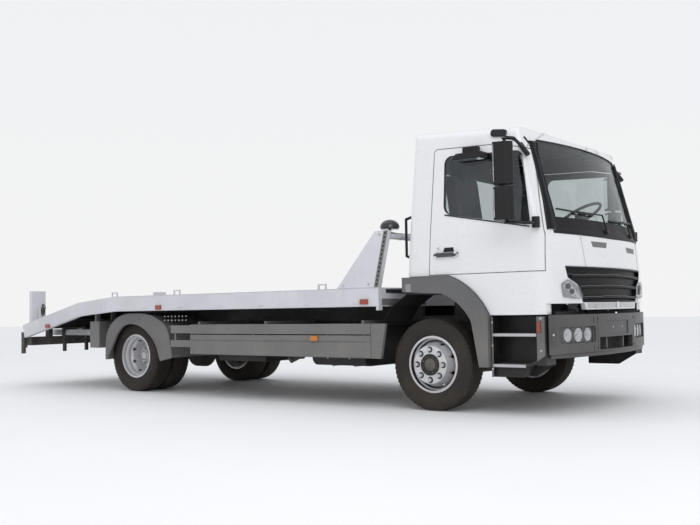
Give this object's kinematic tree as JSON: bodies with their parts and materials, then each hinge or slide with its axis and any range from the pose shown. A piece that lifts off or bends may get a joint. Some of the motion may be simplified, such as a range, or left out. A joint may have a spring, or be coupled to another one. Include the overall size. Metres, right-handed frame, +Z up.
{
  "type": "flatbed tow truck",
  "caption": "Cab-over flatbed recovery truck with a sloping tail, stowed ramps, steered front wheels, tilting cab, opening doors and a winch.",
  "frame": {"origin": "on the ground under the middle of the truck's overall length and width", "axes": "+X towards the nose, +Y to the truck's left, +Z up from the deck"},
  "size_m": [7.76, 2.8562, 2.5966],
  "materials": {
    "cab_paint": "gloss white paint",
    "deck_paint": "pale grey paint, worn",
    "deck_plate": "tread plate, scuffed",
    "grey_plastic": "moulded, fine grain",
    "guard_grey": "satin grey",
    "black_plastic": "moulded, satin",
    "frame_black": "chassis paint",
    "axle_iron": "dark, dusty",
    "engine_grey": "dark, oily",
    "tyre_rubber": "dusty",
    "wheel_silver": "silver paint",
    "dark_glass": "tinted",
    "lamp_clear": "clear ribbed lens",
    "lamp_red": "red lens",
    "lamp_amber": "amber lens",
    "galvanised": "galvanised",
    "seat_cloth": "woven cloth",
    "cab_lining": "grained",
    "winch_steel": "dark paint"
  },
  "bodies": {
    "chassis": {"ladder_frame": "frame_black", "driveline": "engine_grey", "front_axle": "axle_iron", "leaf_springs": "axle_iron", "rear_axle": "axle_iron", "under_deck_tanks": "black_plastic", "tool_boxes": "guard_grey", "side_guards": "guard_grey", "rear_mudguards": "grey_plastic", "front_fenders": "grey_plastic", "arch_liners": "black_plastic", "step_wells": "black_plastic", "bumper": "grey_plastic", "headlamps": "lamp_clear", "deck_rails": "deck_paint", "deck_floor": "deck_plate", "deck_frame": "frame_black", "ramp_guides": "frame_black", "headboard": "deck_paint", "lashing_rings": "deck_paint", "rear_posts": "deck_paint", "underrun_bar": "frame_black", "tail_lamps": "lamp_red", "marker_lamps": "lamp_amber", "work_lamp": "black_plastic", "winch_frame": "winch_steel"},
    "winch_rope_drum": {"winch_drum": "winch_steel"},
    "ramp_left_stowed": {"ramp_left": "galvanised"},
    "ramp_right_stowed": {"ramp_right": "galvanised"},
    "steer_left": {"knuckle_left": "axle_iron"},
    "steer_right": {"knuckle_right": "axle_iron"},
    "steer_link": {"track_rod": "axle_iron"},
    "wheel_front_left": {"tyre_front_left": "tyre_rubber", "rim_front_left": "wheel_silver"},
    "wheel_front_right": {"tyre_front_right": "tyre_rubber", "rim_front_right": "wheel_silver"},
    "wheels_rear_left": {"tyres_rear_left": "tyre_rubber", "rims_rear_left": "wheel_silver"},
    "wheels_rear_right": {"tyres_rear_right": "tyre_rubber", "rims_rear_right": "wheel_silver"},
    "cab": {"cab_shell": "cab_paint", "cab_floor": "cab_lining", "cab_glass": "dark_glass", "grille": "black_plastic", "cab_lamps": "lamp_clear", "cab_trim": "black_plastic", "grab_rail": "black_plastic", "seat_cushions": "seat_cloth", "seat_bases": "cab_lining", "dashboard": "cab_lining"},
    "door_left_leaf": {"door_left": "cab_paint", "door_glass_left": "dark_glass", "mirror_left": "black_plastic"},
    "door_right_leaf": {"door_right": "cab_paint", "door_glass_right": "dark_glass", "mirror_right": "black_plastic"}
  },
  "joints": [
    {"name": "cab_tilt", "type": "hinge", "parent": "chassis", "child": "cab", "pos_m": [3.75, 0, 0.7], "axis": [0, 1, 0], "range_deg": [0, 50]},
    {"name": "door_right_hinge", "type": "hinge", "parent": "cab", "child": "door_right_leaf", "pos_m": [3.69, -1.112, 1.7], "axis": [0, 0, 1], "range_deg": [0, 70]},
    {"name": "door_left_hinge", "type": "hinge", "parent": "cab", "child": "door_left_leaf", "pos_m": [3.69, 1.112, 1.7], "axis": [0, 0, -1], "range_deg": [0, 70]},
    {"name": "steering_right", "type": "hinge", "parent": "chassis", "child": "steer_right", "pos_m": [2.55, -0.85, 0.42], "axis": [0, 0, 1], "range_deg": [-32, 32]},
    {"name": "steering_left", "type": "hinge", "parent": "chassis", "child": "steer_left", "pos_m": [2.55, 0.85, 0.42], "axis": [0, 0, 1], "range_deg": [-32, 32]},
    {"name": "track_rod_slide", "type": "slide", "parent": "chassis", "child": "steer_link", "axis": [0, -1, 0], "range_m": [-0.105, 0.105]},
    {"name": "wheel_front_right_spin", "type": "hinge", "parent": "steer_right", "child": "wheel_front_right", "pos_m": [2.55, -1, 0.42], "axis": [0, 1, 0], "continuous": true},
    {"name": "wheel_front_left_spin", "type": "hinge", "parent": "steer_left", "child": "wheel_front_left", "pos_m": [2.55, 1, 0.42], "axis": [0, 1, 0], "continuous": true},
    {"name": "wheels_rear_right_spin", "type": "hinge", "parent": "chassis", "child": "wheels_rear_right", "pos_m": [-1.67, -0.985, 0.42], "axis": [0, 1, 0], "continuous": true},
    {"name": "wheels_rear_left_spin", "type": "hinge", "parent": "chassis", "child": "wheels_rear_left", "pos_m": [-1.67, 0.985, 0.42], "axis": [0, 1, 0], "continuous": true},
    {"name": "winch_spin", "type": "hinge", "parent": "chassis", "child": "winch_rope_drum", "pos_m": [1.88, 0, 1.28], "axis": [0, 1, 0], "continuous": true},
    {"name": "ramp_right_slide", "type": "slide", "parent": "chassis", "child": "ramp_right_stowed", "axis": [-1, 0, 0], "range_m": [0, 1.1]},
    {"name": "ramp_left_slide", "type": "slide", "parent": "chassis", "child": "ramp_left_stowed", "axis": [-1, 0, 0], "range_m": [0, 1.1]}
  ],
  "couplings": [
    {"joint": "steering_left", "follows": "steering_right", "ratio": 1},
    {"joint": "track_rod_slide", "follows": "steering_right", "m_per_rad": 0.185}
  ]
}
